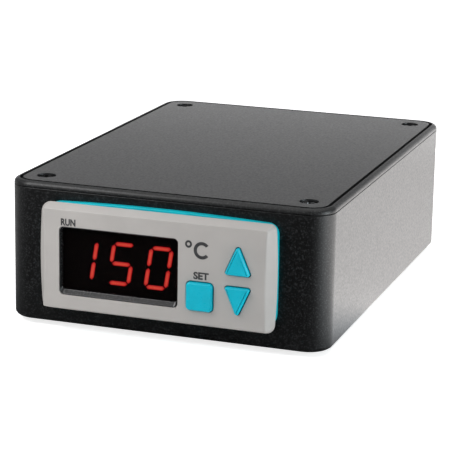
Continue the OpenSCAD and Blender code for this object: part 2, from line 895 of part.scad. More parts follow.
module neutral_wires() {
    color("#2456a6") in_case() {
        wire(smooth([
            [inlet_x - pin_x, 104.4, 25.7], [18, 99, 28.6], [23, 88, 30], [25, 74, 30.5],
            [23.5, 65.5, 28.5], [22, 60.6, 23.5], before_terminal(10), at_terminal(10)
        ]));
        wire(smooth([
            [outlet_x - pin_x, 108.3, 21.5], [-13, 104.6, 26], [-15, 98, 29.5],
            [-20, 84, 30], [-21, 70, 29.5], [-20, 61.6, 25.5], before_terminal(2),
            at_terminal(2)
        ]));
    }
}

module earth_wire() {
    color("#7fa12b") in_case() wire(smooth([
        [inlet_x, 104.4, 29.7], [23.5, 101, 31], [14, 98, 31], [4, 98.5, 29.5],
        [-2, 101.5, 27.5], [outlet_x, 105.4, 24], [outlet_x, 108.3, 21.5]
    ]));
}

module sensor_wires() {
    color("#b5362c") in_case() for (i = [0, 1])
        wire(smooth([
            [switch_x - 4 + 8 * i, 117.6, sensor_z], [-36.5 + 3 * i, 107, 9.5],
            [-36.5 + 3 * i, 80, 8], [-33 + 4 * i, 62, 9], [-19 + 5 * i, 58.8, 13],
            before_terminal(3 + i), at_terminal(3 + i)
        ]));
}

module control_wires() {
    color("#2d2d30") in_case() for (i = [0, 1])
        wire(smooth([
            at_terminal(7 + i), before_terminal(7 + i), [7.5 + 5 * i, 61, 23.5],
            [8 + 5 * i, 65.5, 28], [8 + 5 * i, 70, 28], [8 + 5 * i, 72.5, 25.8]
        ]));
}

base_shell();
lid();
lid_screws();
threaded_inserts();
rubber_feet();
front_cover();
front_frame();
panel_gasket();
display_window();
display_module();
display_segments();
set_button();
up_button();
down_button();
set_plunger();
up_plunger();
down_plunger();
keypad_switches();
display_board();
controller_housing();
mounting_clips();
controller_board();
relay();
transformer();
capacitors();
terminal_block();
terminal_screws();
controller_back_cover();
mains_inlet();
inlet_pins();
fuse_drawer();
fuse_tube();
fuse_caps();
switch_housing();
switch_rocker();
switch_tabs();
outlet_socket();
outlet_contacts();
sensor_socket();
sensor_contacts();
ssr_plate();
ssr_body();
ssr_screws();
line_wires();
neutral_wires();
earth_wire();
sensor_wires();
control_wires();
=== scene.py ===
"""Looks of the bench temperature controller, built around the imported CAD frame.

Lengths inside the mesh helpers are millimetres in the row frame: +X right, -Y front, +Z up.
"""

import json
import math

import bmesh
import bpy
from mathutils import Matrix, Vector


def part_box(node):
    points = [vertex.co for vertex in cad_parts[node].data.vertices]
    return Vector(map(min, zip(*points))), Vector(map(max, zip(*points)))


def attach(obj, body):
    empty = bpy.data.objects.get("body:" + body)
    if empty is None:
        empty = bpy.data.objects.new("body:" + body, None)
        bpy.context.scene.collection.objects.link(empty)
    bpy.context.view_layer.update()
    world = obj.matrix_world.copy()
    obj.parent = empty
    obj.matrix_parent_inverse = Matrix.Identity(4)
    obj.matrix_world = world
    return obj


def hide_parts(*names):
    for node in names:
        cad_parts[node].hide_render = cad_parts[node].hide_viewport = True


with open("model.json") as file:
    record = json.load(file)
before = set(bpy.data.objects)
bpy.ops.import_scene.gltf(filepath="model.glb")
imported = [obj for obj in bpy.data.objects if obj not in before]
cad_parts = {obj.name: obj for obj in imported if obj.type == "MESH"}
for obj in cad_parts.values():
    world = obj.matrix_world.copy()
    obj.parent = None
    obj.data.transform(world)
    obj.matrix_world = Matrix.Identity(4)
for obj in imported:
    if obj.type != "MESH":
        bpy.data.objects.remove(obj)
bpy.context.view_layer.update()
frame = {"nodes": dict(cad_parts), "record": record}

MM = 0.001
SCENE = bpy.context.scene
BODY_OF = {
    node: body
    for body, nodes in frame["record"]["behaviour"]["bodies"].items()
    for node in nodes
}
SLOT_OF = {s["node"]: s["material_slot"] for s in frame["record"]["subparts"]}


def box_mm(node):
    low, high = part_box(node)
    return low / MM, high / MM


# ---------------------------------------------------------------- camera and stage

TARGET = Vector((1.96, -18.3, 23.6))
AZIMUTH, ELEVATION, ROLL = (math.radians(a) for a in (18.99, 14.68, 1.04))
DISTANCE = 610.8
LENS = 153.9


def make_camera():
    back = Vector((
        math.sin(AZIMUTH) * math.cos(ELEVATION),
        -math.cos(AZIMUTH) * math.cos(ELEVATION),
        math.sin(ELEVATION),
    ))
    right = (-back).cross(Vector((0, 0, 1))).normalized()
    up = right.cross(-back)
    rolled_right = right * math.cos(ROLL) + up * math.sin(ROLL)
    rolled_up = up * math.cos(ROLL) - right * math.sin(ROLL)
    camera = bpy.data.objects.new("camera", bpy.data.cameras.new("camera"))
    camera.data.sensor_width = 36
    camera.data.lens = LENS
    camera.data.clip_start = 0.01
    camera.data.clip_end = 50
    axes = Matrix((rolled_right, rolled_up, back)).transposed().to_4x4()
    camera.matrix_world = Matrix.Translation((TARGET + back * DISTANCE) * MM) @ axes
    SCENE.collection.objects.link(camera)
    SCENE.camera = camera


def area_light(name, place, aim, size, power, colour=(1, 1, 1)):
    light = bpy.data.lights.new(name, "AREA")
    light.shape = "RECTANGLE"
    light.size, light.size_y = size
    light.energy = power
    light.color = colour
    lamp = bpy.data.objects.new(name, light)
    place, aim = Vector(place), Vector(aim)
    lamp.location = place
    lamp.rotation_mode = "QUATERNION"
    lamp.rotation_quaternion = (aim - place).to_track_quat("-Z", "Y")
    lamp.visible_camera = False
    SCENE.collection.objects.link(lamp)


# Brightness of the room all round: on matt surfaces, and as gloss sees it.
ROOM, GLOSS_ROOM = 0.13, 0.36


def make_lights():
    world = bpy.data.worlds.new("studio")
    world.use_nodes = True
    tree = world.node_tree
    room = tree.nodes["Background"]
    gloss_room = tree.nodes.new("ShaderNodeBackground")
    for background, strength in ((room, ROOM), (gloss_room, GLOSS_ROOM)):
        background.inputs["Color"].default_value = (0.98, 0.985, 1.0, 1)
        background.inputs["Strength"].default_value = strength
    rays = tree.nodes.new("ShaderNodeLightPath")
    choose = tree.nodes.new("ShaderNodeMixShader")
    tree.links.new(rays.outputs["Is Glossy Ray"], choose.inputs["Fac"])
    tree.links.new(room.outputs["Background"], choose.inputs[1])
    tree.links.new(gloss_room.outputs["Background"], choose.inputs[2])
    tree.links.new(choose.outputs["Shader"], tree.nodes["World Output"].inputs["Surface"])
    SCENE.world = world
    SCENE.view_settings.view_transform = "Standard"
    area_light("overhead", (0.1, 0.1, 1.6), (0, 0.1, 0), (2.2, 2.2), 15)
    area_light("rear_card", (-0.06, 0.22, 0.045), (-0.03, 0.0, 0.045), (0.4, 0.1), 0.17)
    area_light("front_key", (-0.11, -0.17, 0.16), (0, -0.07, 0.02), (0.1, 0.1), 0.21)
    area_light("side_fill", (0.5, -0.1, 0.12), (0.03, -0.07, 0.02), (0.2, 0.2), 1.1, (0.86, 0.96, 1.0))


# ---------------------------------------------------------------- materials

def start_material(name):
    material = bpy.data.materials.new(name)
    material.use_nodes = True
    tree = material.node_tree
    tree.nodes.clear()
    output = tree.nodes.new("ShaderNodeOutputMaterial")
    shader = tree.nodes.new("ShaderNodeBsdfPrincipled")
    tree.links.new(shader.outputs["BSDF"], output.inputs["Surface"])
    return material, tree, shader


def add_noise(tree, scale, detail=2.0, stretch=(1, 1, 1)):
    coords = tree.nodes.new("ShaderNodeTexCoord")
    mapping = tree.nodes.new("ShaderNodeMapping")
    mapping.inputs["Scale"].default_value = stretch
    noise = tree.nodes.new("ShaderNodeTexNoise")
    noise.inputs["Scale"].default_value = scale
    noise.inputs["Detail"].default_value = detail
    tree.links.new(coords.outputs["Object"], mapping.inputs["Vector"])
    tree.links.new(mapping.outputs["Vector"], noise.inputs["Vector"])
    return noise.outputs["Fac"]


def add_ramp(tree, factor, low, high, start=0.3, end=0.7):
    ramp = tree.nodes.new("ShaderNodeValToRGB")
    ramp.color_ramp.elements[0].position = start
    ramp.color_ramp.elements[1].position = end
    ramp.color_ramp.elements[0].color = (*low, 1)
    ramp.color_ramp.elements[1].color = (*high, 1)
    tree.links.new(factor, ramp.inputs["Fac"])
    return ramp.outputs["Color"]


def add_range(tree, factor, low, high, start=0.3, end=0.7):
    node = tree.nodes.new("ShaderNodeMapRange")
    node.inputs["From Min"].default_value = start
    node.inputs["From Max"].default_value = end
    node.inputs["To Min"].default_value = low
    node.inputs["To Max"].default_value = high
    tree.links.new(factor, node.inputs["Value"])
    return node.outputs["Result"]


def add_bump(tree, shader, heights):
    """Chains bumps on the shader's normal; heights are (factor, strength, distance) triples."""
    normal = None
    for factor, strength, distance in heights:
        bump = tree.nodes.new("ShaderNodeBump")
        bump.inputs["Strength"].default_value = strength
        bump.inputs["Distance"].default_value = distance
        tree.links.new(factor, bump.inputs["Height"])
        if normal is not None:
            tree.links.new(normal, bump.inputs["Normal"])
        normal = bump.outputs["Normal"]
    tree.links.new(normal, shader.inputs["Normal"])


def shaded(colour, factor):
    return tuple(min(1.0, c * factor) for c in colour)


def surface(
    name, colour, vary=0.12, patch=90, rough=(0.4, 0.5), grain=2200, grain_strength=0.25,
    grain_depth=0.00004, metallic=0.0, level=0.5, ior=1.5, alpha=1.0, stretch=(1, 1, 1),
):
    """Colour that drifts in patches, uneven roughness and a fine moulded or machined grain."""
    material, tree, shader = start_material(name)
    drift = add_noise(tree, patch, 4, stretch)
    fine = add_noise(tree, grain, 2, stretch)
    tree.links.new(
        add_ramp(tree, drift, shaded(colour, 1 - vary), shaded(colour, 1 + vary)),
        shader.inputs["Base Color"],
    )
    tree.links.new(add_range(tree, fine, *rough), shader.inputs["Roughness"])
    add_bump(tree, shader, [(fine, grain_strength, grain_depth)])
    shader.inputs["Metallic"].default_value = metallic
    shader.inputs["Specular IOR Level"].default_value = level
    shader.inputs["IOR"].default_value = ior
    shader.inputs["Alpha"].default_value = alpha
    return material


def circuit_board(name, colour):
    """Green solder mask over copper tracks, with a slight relief along the tracks."""
    material, tree, shader = start_material(name)
    coords = tree.nodes.new("ShaderNodeTexCoord")
    tracks = tree.nodes.new("ShaderNodeTexBrick")
    tracks.inputs["Scale"].default_value = 260
    tracks.inputs["Mortar Size"].default_value = 0.06
    tracks.inputs["Mortar Smooth"].default_value = 0.2
    tracks.inputs["Color1"].default_value = (*shaded(colour, 1.35), 1)
    tracks.inputs["Color2"].default_value = (*colour, 1)
    tracks.inputs["Mortar"].default_value = (*shaded(colour, 0.55), 1)
    tree.links.new(coords.outputs["Object"], tracks.inputs["Vector"])
    tree.links.new(tracks.outputs["Color"], shader.inputs["Base Color"])
    fine = add_noise(tree, 900, 3)
    tree.links.new(add_range(tree, fine, 0.25, 0.4), shader.inputs["Roughness"])
    add_bump(tree, shader, [(tracks.outputs["Fac"], 0.3, 0.00005), (fine, 0.1, 0.00003)])
    return material


def lit_segments_material(name):
    """Glowing bars, deep red at their rims and orange along their middles."""
    material, tree, shader = start_material(name)
    core = tree.nodes.new("ShaderNodeAttribute")
    core.attribute_name = "core"
    uneven = add_noise(tree, 700, 2)
    blend = tree.nodes.new("ShaderNodeMath")
    blend.operation = "MULTIPLY"
    tree.links.new(core.outputs["Fac"], blend.inputs[0])
    tree.links.new(add_range(tree, uneven, 0.75, 1.0), blend.inputs[1])
    glow = add_ramp(tree, blend.outputs["Value"], (0.62, 0.008, 0.012), (1.0, 0.09, 0.055), 0.0, 1.0)
    tree.links.new(glow, shader.inputs["Emission Color"])
    tree.links.new(glow, shader.inputs["Base Color"])
    shader.inputs["Emission Strength"].default_value = 1.0
    shader.inputs["Roughness"].default_value = 0.4
    return material


# Sockets of a Mix node set to colours, which shares its socket names with other kinds.
MIX_FACTOR, MIX_A, MIX_B, MIX_RESULT = 0, 6, 7, 2


def black_case_material(name):
    """Spark-eroded plastic: near-black with dark grey flecks, and a fine pitted grain."""
    material, tree, shader = start_material(name)
    drift = add_noise(tree, 35, 4)
    grain = add_noise(tree, 1500, 3)
    pits = add_noise(tree, 3800, 2)
    flecks = add_noise(tree, 2100, 1)
    mix = tree.nodes.new("ShaderNodeMix")
    mix.data_type = "RGBA"
    tree.links.new(add_range(tree, flecks, 0.0, 1.0, 0.5, 0.8), mix.inputs[MIX_FACTOR])
    tree.links.new(
        add_ramp(tree, drift, (0.0022, 0.0022, 0.0023), (0.0038, 0.0038, 0.004)),
        mix.inputs[MIX_A],
    )
    mix.inputs[MIX_B].default_value = (0.034, 0.035, 0.037, 1)
    tree.links.new(mix.outputs[MIX_RESULT], shader.inputs["Base Color"])
    tree.links.new(add_range(tree, grain, 0.34, 0.46), shader.inputs["Roughness"])
    add_bump(tree, shader, [(grain, 0.25, 0.00005), (pits, 0.2, 0.00003)])
    shader.inputs["Specular IOR Level"].default_value = 0.42
    return material


def make_materials():
    black = (0.014, 0.014, 0.015)
    nickel = (0.72, 0.71, 0.68)
    made = {
        "case_black": black_case_material("case_black"),
        "screw_black": surface(
            "screw_black", (0.09, 0.09, 0.094), 0.3, 400, (0.16, 0.28), metallic=0.9),
        "brass": surface(
            "brass", (0.72, 0.5, 0.2), 0.1, 300, (0.22, 0.38), metallic=1, stretch=(1, 1, 8)),
        "rubber": surface(
            "rubber", (0.022, 0.022, 0.022), 0.25, 200, (0.7, 0.85), 1400, 0.4, level=0.3),
        "cover_grey": surface(
            "cover_grey", (0.50, 0.475, 0.455), 0.035, 120, (0.36, 0.46), 2600, 0.16,
            level=0.45),
        "teal_plastic": surface(
            "teal_plastic", (0.0, 0.52, 0.62), 0.08, 160, (0.34, 0.44), 2600, 0.12, level=0.25),
        "button_teal": surface(
            "button_teal", (0.0, 0.52, 0.68), 0.07, 200, (0.26, 0.36), 2400, 0.14, level=0.25),
        "window": surface(
            "window", (0.004, 0.002, 0.002), 0.3, 60, (0.05, 0.09), 500, 0.02, level=0.1,
            alpha=0.32),
        "window_surround": surface(
            "window_surround", (0.02, 0.02, 0.021), 0.15, 200, (0.2, 0.3), 1800, 0.1),
        "module_dark": surface(
            "module_dark", (0.004, 0.004, 0.004), 0.3, 500, (0.6, 0.75), level=0.05),
        "lit_red": lit_segments_material("lit_red"),
        "switch_grey": surface("switch_grey", (0.33, 0.35, 0.37), 0.1, 300, (0.3, 0.42)),
        "plunger_brown": surface("plunger_brown", (0.06, 0.03, 0.02), 0.2, 400, (0.35, 0.5)),
        "board_green": circuit_board("board_green", (0.012, 0.11, 0.035)),
        "housing_black": surface("housing_black", (0.02, 0.021, 0.022), 0.2, 120, (0.42, 0.56)),
        "clip_white": surface("clip_white", (0.62, 0.62, 0.57), 0.06, 200, (0.38, 0.5)),
        "relay_blue": surface("relay_blue", (0.03, 0.16, 0.42), 0.1, 200, (0.25, 0.36)),
        "transformer_yellow": surface(
            "transformer_yellow", (0.55, 0.33, 0.05), 0.18, 260, (0.3, 0.5), 1200, 0.3,
            stretch=(1, 1, 14)),
        "capacitor_blue": surface("capacitor_blue", (0.025, 0.03, 0.16), 0.15, 300, (0.25, 0.35)),
        "terminal_green": surface("terminal_green", (0.05, 0.21, 0.07), 0.1, 200, (0.38, 0.5)),
        "nickel": surface(
            "nickel", nickel, 0.08, 500, (0.18, 0.32), metallic=1, stretch=(1, 6, 1)),
        "inlet_black": surface("inlet_black", black, 0.25, 120, (0.36, 0.5), 1800, 0.3),
        "drawer_black": surface("drawer_black", shaded(black, 1.3), 0.2, 160, (0.3, 0.42)),
        "fuse_glass": surface(
            "fuse_glass", (0.86, 0.93, 0.95), 0.03, 200, (0.03, 0.08), 900, 0.04, alpha=0.35),
        "rocker_black": surface(
            "rocker_black", shaded(black, 0.9), 0.2, 160, (0.2, 0.3), 2200, 0.15),
        "sensor_yellow": surface("sensor_yellow", (0.7, 0.38, 0.02), 0.08, 160, (0.35, 0.48)),
        "aluminium": surface(
            "aluminium", (0.75, 0.76, 0.77), 0.06, 300, (0.25, 0.42), 1400, 0.2, metallic=1,
            stretch=(1, 18, 1)),
        "relay_white": surface("relay_white", (0.68, 0.68, 0.65), 0.05, 160, (0.36, 0.48)),
        "print_dark": surface("print_dark", (0.05, 0.05, 0.052), 0.2, 900, (0.5, 0.65)),
    }
    for word, colour in (
        ("brown", (0.13, 0.045, 0.015)), ("blue", (0.02, 0.09, 0.36)),
        ("green", (0.2, 0.34, 0.03)), ("red", (0.42, 0.025, 0.02)),
        ("black", (0.018, 0.018, 0.018)),
    ):
        made[f"wire_{word}"] = surface(f"wire_{word}", colour, 0.12, 250, (0.32, 0.46), 1500)
    return made


# ---------------------------------------------------------------- mesh helpers

def add_piece(name, bm):
    """Turns a bmesh in millimetres into a linked object in metres."""
    bmesh.ops.recalc_face_normals(bm, faces=bm.faces)
    mesh = bpy.data.meshes.new(name)
    bm.to_mesh(mesh)
    bm.free()
    mesh.transform(Matrix.Scale(MM, 4))
    piece = bpy.data.objects.new(name, mesh)
    SCENE.collection.objects.link(piece)
    return piece


def add_loft(bm, rings):
    """Skins rings of equal length one after the other and closes both ends."""
    rows = [[bm.verts.new(p) for p in ring] for ring in rings]
    for a, b in zip(rows, rows[1:]):
        for i in range(len(a)):
            j = (i + 1) % len(a)
            bm.faces.new((a[i], a[j], b[j], b[i]))
    bm.faces.new(rows[0])
    bm.faces.new(rows[-1])


def loft(name, rings):
    bm = bmesh.new()
    add_loft(bm, rings)
    return add_piece(name, bm)


def rounded_rect(w, h, r, steps=8, sides=1, bow_x=0.0, bow_z=0.0):
    """Outline of a rounded rectangle whose sides may bow out from their corners.

    r is one radius, or four from the top right corner round by the top left one.
    """
    signs = ((1, 1), (-1, 1), (-1, -1), (1, -1))
    radii = r if isinstance(r, (list, tuple)) else (r,) * 4
    arcs = [
        [
            (
                sx * (w / 2 - radius) + radius * math.cos(math.radians(90 * (i + k / steps))),
                sz * (h / 2 - radius) + radius * math.sin(math.radians(90 * (i + k / steps))),
            )
            for k in range(steps + 1)
        ]
        for i, ((sx, sz), radius) in enumerate(zip(signs, radii))
    ]
    points = []
    for arc, following in zip(arcs, arcs[1:] + arcs[:1]):
        points += arc
        (ax, az), (bx, bz) = arc[-1], following[0]
        points += [
            (ax + (bx - ax) * k / sides, az + (bz - az) * k / sides) for k in range(1, sides)
        ]
    return [
        (x * (1 - 2 * bow_x / w * (2 * z / h) ** 2), z * (1 - 2 * bow_z / h * (2 * x / w) ** 2))
        for x, z in points
    ]


def at_y(outline, y, x=0.0, z=0.0):
    return [(x + px, y, z + pz) for px, pz in outline]


def circle(radius, steps=32):
    return [
        (radius * math.cos(2 * math.pi * k / steps), radius * math.sin(2 * math.pi * k / steps))
        for k in range(steps)
    ]


def lathe_z(bm, profile, place, steps=32):
    """Turns (radius, z) pairs about an upright axis."""
    add_loft(bm, [
        [(place[0] + x, place[1] + y, place[2] + z) for x, y in circle(r, steps)]
        for r, z in profile
    ])


def bake_modifiers(piece):
    graph = bpy.context.evaluated_depsgraph_get()
    mesh = bpy.data.meshes.new_from_object(piece.evaluated_get(graph))
    piece.modifiers.clear()
    piece.data = mesh


def cut(piece, *cutters):
    """Takes the cutters out of the piece and removes them."""
    for cutter in cutters:
        step = piece.modifiers.new("cut", "BOOLEAN")
        step.operation = "DIFFERENCE"
        step.solver = "EXACT"
        step.object = cutter
    bake_modifiers(piece)
    for cutter in cutters:
        bpy.data.objects.remove(cutter)
    tidy(piece.data)


def tidy(mesh, flat=0.5):
    """Merges doubled points and joins faces that lie in one plane."""
    bm = bmesh.new()
    bm.from_mesh(mesh)
    bmesh.ops.remove_doubles(bm, verts=bm.verts, dist=3e-6)
    bmesh.ops.dissolve_degenerate(bm, edges=bm.edges, dist=2e-6)
    bmesh.ops.dissolve_limit(
        bm, angle_limit=math.radians(flat), verts=bm.verts, edges=bm.edges)
    bm.to_mesh(mesh)
    bm.free()


def soft_edges(piece, width, angle=30, segments=2):
    bevel = piece.modifiers.new("edges", "BEVEL")
    bevel.width = width * MM
    bevel.segments = segments
    bevel.limit_method = "ANGLE"
    bevel.angle_limit = math.radians(angle)
    bevel.use_clamp_overlap = True


def shade(piece, angle=40):
    """Smooth shading, crisp on edges sharper than angle, with normals weighted by face size."""
    bm = bmesh.new()
    bm.from_mesh(piece.data)
    for face in bm.faces:
        face.smooth = True
    for edge in bm.edges:
        edge.smooth = len(edge.link_faces) != 2 or edge.calc_face_angle(0) < math.radians(angle)
    bm.to_mesh(piece.data)
    bm.free()
    normals = piece.modifiers.new("normals", "WEIGHTED_NORMAL")
    normals.keep_sharp = True


def settle(piece, body, slot, *replaced, material=None, angle=40):
    """Gives a finished piece its shading, its material (named by the slot unless one is given) and its
    body, and hides the CAD nodes it stands for.
    """
    shade(piece, angle)
    piece.data.materials.clear()
    piece.data.materials.append(MATERIALS[material or slot])
    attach(piece, body)
    if replaced:
        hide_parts(*replaced)
    return piece


def softened(node, name, width, angle=30, segments=2):
    """Copy of a CAD node's mesh with its sharp edges rounded; it stands for that node."""
    piece = bpy.data.objects.new(name, frame["nodes"][node].data.copy())
    SCENE.collection.objects.link(piece)
    tidy(piece.data)
    soft_edges(piece, width, angle, segments)
    return settle(piece, BODY_OF[node], SLOT_OF[node], node, angle=180)


# ---------------------------------------------------------------- case

SCREW_HEAD_R = 2.8


def screw_places():
    low, high = box_mm("lid_screws")
    return [
        (x, y)
        for x in (low.x + SCREW_HEAD_R, high.x - SCREW_HEAD_R)
        for y in (low.y + SCREW_HEAD_R, high.y - SCREW_HEAD_R)
    ]


def lid_screw_mesh(name):
    """Countersunk cross-head screw with its head's top at z = 0."""
    profile = [(0.6, -8.2), (1.15, -7.7)]
    profile += [(1.5 if k % 2 else 1.22, -7.4 + 0.25 * k) for k in range(22)]
    profile += [
        (1.5, -1.85), (2.62, -0.35), (SCREW_HEAD_R, -0.2), (2.74, -0.07), (2.5, 0.0), (1.6, 0.06),
    ]
    bm = bmesh.new()
    lathe_z(bm, profile, (0, 0, -0.06), 40)
    screw = add_piece(name, bm)
    slots = []
    for turn in (0, 90):
        bm = bmesh.new()
        add_loft(bm, [
            [(half * sx, wide * sy, z) for sx, sy in ((1, 1), (-1, 1), (-1, -1), (1, -1))]
            for half, wide, z in ((0.5, 0.16, -1.5), (1.5, 0.33, -0.6), (1.62, 0.42, 0.3))
        ])
        bmesh.ops.rotate(bm, verts=bm.verts, matrix=Matrix.Rotation(math.radians(turn), 3, "Z"))
        slots.append(add_piece(f"{name}_slot", bm))
    bm = bmesh.new()
    lathe_z(bm, [(0.2, -1.3), (0.75, -0.5), (0.95, 0.3)], (0, 0, 0), 16)
    slots.append(add_piece(f"{name}_pit", bm))
    cut(screw, *slots)
    return screw


def make_screws():
    model = lid_screw_mesh("lid_screw_model")
    top = box_mm("lid_screws")[1].z
    bm = bmesh.new()
    for (x, y), turn in zip(screw_places(), (28, 63, 12, 75)):
        copy = model.data.copy()
        copy.transform(
            Matrix.Translation(Vector((x, y, top)) * MM)
            @ Matrix.Rotation(math.radians(turn), 4, "Z"))
        bm.from_mesh(copy)
    bpy.data.objects.remove(model)
    mesh = bpy.data.meshes.new("lid_screw_set")
    bm.to_mesh(mesh)
    bm.free()
    screws = bpy.data.objects.new("lid_screw_set", mesh)
    SCENE.collection.objects.link(screws)
    settle(screws, "case", "screw_black", "lid_screws", angle=35)


def make_feet():
    low, high = box_mm("rubber_feet")
    radius, height = 5.0, 1.5
    bm = bmesh.new()
    for x in (low.x + radius, high.x - radius):
        for y in (low.y + radius, high.y - radius):
            lathe_z(bm, [
                (3.4, 0.25), (3.7, 0.02), (4.5, 0.0), (4.75, 0.08), (4.9, 0.35), (radius, 1.35),
                (radius, height),
            ], (x, y, 0), 40)
    settle(add_piece("foot_pads", bm), "case", "rubber", "rubber_feet", angle=50)


def make_case():
    softened("base_shell", "case_shell", 0.22, angle=32)
    softened("lid", "case_lid", 0.18, angle=32)
    make_screws()
    make_feet()


# ---------------------------------------------------------------- controller front

COVER_W, COVER_H = 74.4, 32.9
COVER_SHIFT = (0.2, 0.25)
COVER_RADII, FRAME_RADII = (1.8, 3.0, 2.6, 2.6), (3.0, 6.0, 6.0, 6.0)
BEVEL_SIDE, BEVEL_TOP = 2.65, 1.3
WINDOW = (-10.75, -0.2, 37.6, 21.0, 1.4)
SET_PLACE, SET_SIZE = (14.9, -6.3), (8.1, 8.5)
UP_PLACE, DOWN_PLACE = (26.5, 5.45), (26.5, -6.35)
ARROW_HALF_W, ARROW_HALF_H, ARROW_CORNER = 3.7, 4.1, 0.6
BUTTON_GAP = 0.25
COVER_SKIN = 1.6
POCKET_W, POCKET_H = 66, 25
HOLE_ROUND = 0.18


def panel_centre():
    """Centre of the controller's front in X and Z, and the depth of its cover's face."""
    low, high = box_mm("front_cover")
    x, z = (low.x + high.x) / 2, (low.z + high.z) / 2
    return x - COVER_SHIFT[0], z - COVER_SHIFT[1], low.y


def arrow(grow, steps=6):
    """Outline of the triangle with rounded corners that points up."""
    r = ARROW_CORNER + grow
    x, z = ARROW_HALF_W - ARROW_CORNER, ARROW_HALF_H - ARROW_CORNER
    tilt = math.degrees(math.atan2(x, 2 * z))
    corners = ((x, -z), (0, z), (-x, -z))
    turns = (-90, tilt, 180 - tilt, 270)
    points = []
    for i, (cx, cz) in enumerate(corners):
        for k in range(steps + 1):
            a = math.radians(turns[i] + (turns[i + 1] - turns[i]) * k / steps)
            points.append((cx + r * math.cos(a), cz + r * math.sin(a)))
    return points


def turned(outline):
    return [(-x, -z) for x, z in outline]


def set_outline(grow):
    return rounded_rect(SET_SIZE[0] + 2 * grow, SET_SIZE[1] + 2 * grow, max(1.2 + grow, 0.3))


def cover_ring(q, y, x, z):
    """Cover outline at bevel share q: 0 at the foot of the bevels and 1 at the crease."""
    outline = rounded_rect(
        COVER_W - 2 * BEVEL_SIDE * q, COVER_H - 2 * BEVEL_TOP * q,
        [max((r - 0.5) * max(1 - q, 0) ** 1.4 + 0.5, 0.5) for r in COVER_RADII],
        10, 12, 0.65 - 1.1 * min(q, 1), 0)
    return at_y(outline, y, x + COVER_SHIFT[0], z + COVER_SHIFT[1])


def hole_cutter(name, outline_of, place, face, depth):
    """Cutter through the cover's skin that leaves a small round on the hole's front edge."""
    x, z = place
    rings = [at_y(outline_of(BUTTON_GAP), face + depth, x, z)]
    rings += [
        at_y(
            outline_of(BUTTON_GAP + HOLE_ROUND * (1 - math.cos(a))),
            face + HOLE_ROUND * (1 - math.sin(a)), x, z)
        for a in (0, math.pi / 6, math.pi / 3, math.pi / 2)
    ]
    rings.append(at_y(outline_of(BUTTON_GAP + HOLE_ROUND), face - 1, x, z))
    return loft(name, rings)


def make_cover():
    px, pz, face = panel_centre()
    back = box_mm("front_cover")[1].y
    depth = face - back
    crease = [
        (0, 0), (0, 0.03), (0.1, 0.125), (0.3, 0.31), (0.5, 0.5), (0.7, 0.69), (0.86, 0.845),
        (0.93, 0.905), (0.99, 0.948), (1.05, 0.978), (1.12, 0.994), (1.2, 1.0),
    ]
    cover = loft("cover_shell", [cover_ring(q, back + depth * t, px, pz) for q, t in crease])
    window_x, window_z, w, h, r = WINDOW

    def window_outline(grow):
        grow -= BUTTON_GAP
        return rounded_rect(w + 2 * grow, h + 2 * grow, r + grow)

    def down_outline(grow):
        return turned(arrow(grow))

    pocket = loft("pocket", [
        at_y(rounded_rect(POCKET_W, POCKET_H, 1), y, px, pz)
        for y in (face + COVER_SKIN, back + 1)])
    holes = [
        hole_cutter("hole", outline_of, (px + x, pz + z), face, 3)
        for outline_of, (x, z) in (
            (window_outline, (window_x, window_z)), (set_outline, SET_PLACE),
            (arrow, UP_PLACE), (down_outline, DOWN_PLACE),
        )
    ]
    cut(cover, pocket, *holes)
    settle(cover, "case", "cover_grey", "front_cover", angle=48)


def make_frame():
    px, pz, _ = panel_centre()
    front, rear = box_mm("front_frame")[0].y, box_mm("front_frame")[1].y

    def ring(grow, y):
        outline = rounded_rect(
            COVER_W - 0.5 + 2 * grow, COVER_H + 1.4 + 2 * grow, [r + grow for r in FRAME_RADII],
            10, 16, 0.2, 0.95)
        low = 0.2 - COVER_H / 2 - grow
        return at_y(
            [(x, max(z, low)) for x, z in outline], y, px + COVER_SHIFT[0], pz + COVER_SHIFT[1])

    trim = loft("cover_trim", [
        ring(0, rear), ring(0, front + 0.25), ring(-0.07, front + 0.08), ring(-0.25, front)])
    hole = loft("hole", [
        at_y(rounded_rect(POCKET_W, POCKET_H, 1), y, px, pz) for y in (front - 1, rear + 1)])
    recess = loft("recess", [
        at_y(rounded_rect(72.6, 30.8, 0.3), y, px, pz) for y in (rear - 0.6, rear + 1)])
    cut(trim, hole, recess)
    settle(trim, "case", "teal_plastic", "front_frame", angle=48)


def make_window():
    px, pz, face = panel_centre()
    window_x, window_z, w, h, r = WINDOW
    x, z = px + window_x, pz + window_z
    w, h = w - 0.16, h - 0.16

    def ring(side, top, bottom, y):
        outline = rounded_rect(w - 2 * side, h - top - bottom, max(r - side, 0.5))
        return at_y(outline, y, x, z + (bottom - top) / 2)

    lens_front = face + 1.45
    lens_back = face + 2.35
    surround = loft("window_surround", [
        ring(0, 0, 0, lens_back), ring(0, 0, 0, face + 0.35), ring(0.05, 0.05, 0.06, face + 0.22),
        ring(0.14, 0.14, 0.18, face + 0.18), ring(0.22, 0.22, 0.3, face + 0.24),
        ring(0.3, 0.3, 1.15, lens_front - 0.08), ring(0.34, 0.34, 1.28, lens_front - 0.02),
        ring(0.36, 0.36, 1.34, lens_front + 0.3),
    ])
    hole = loft("hole", [ring(0.42, 0.42, 1.36, y) for y in (lens_front - 0.3, lens_back + 1)])
    cut(surround, hole)
    settle(surround, "case", "window", "display_window", material="window_surround", angle=50)
    lens = loft("window_lens", [
        ring(0.46, 0.46, 1.4, lens_back - 0.1), ring(0.46, 0.46, 1.4, lens_front + 0.05),
        ring(0.52, 0.52, 1.46, lens_front),
    ])
    settle(lens, "case", "window", "display_window")


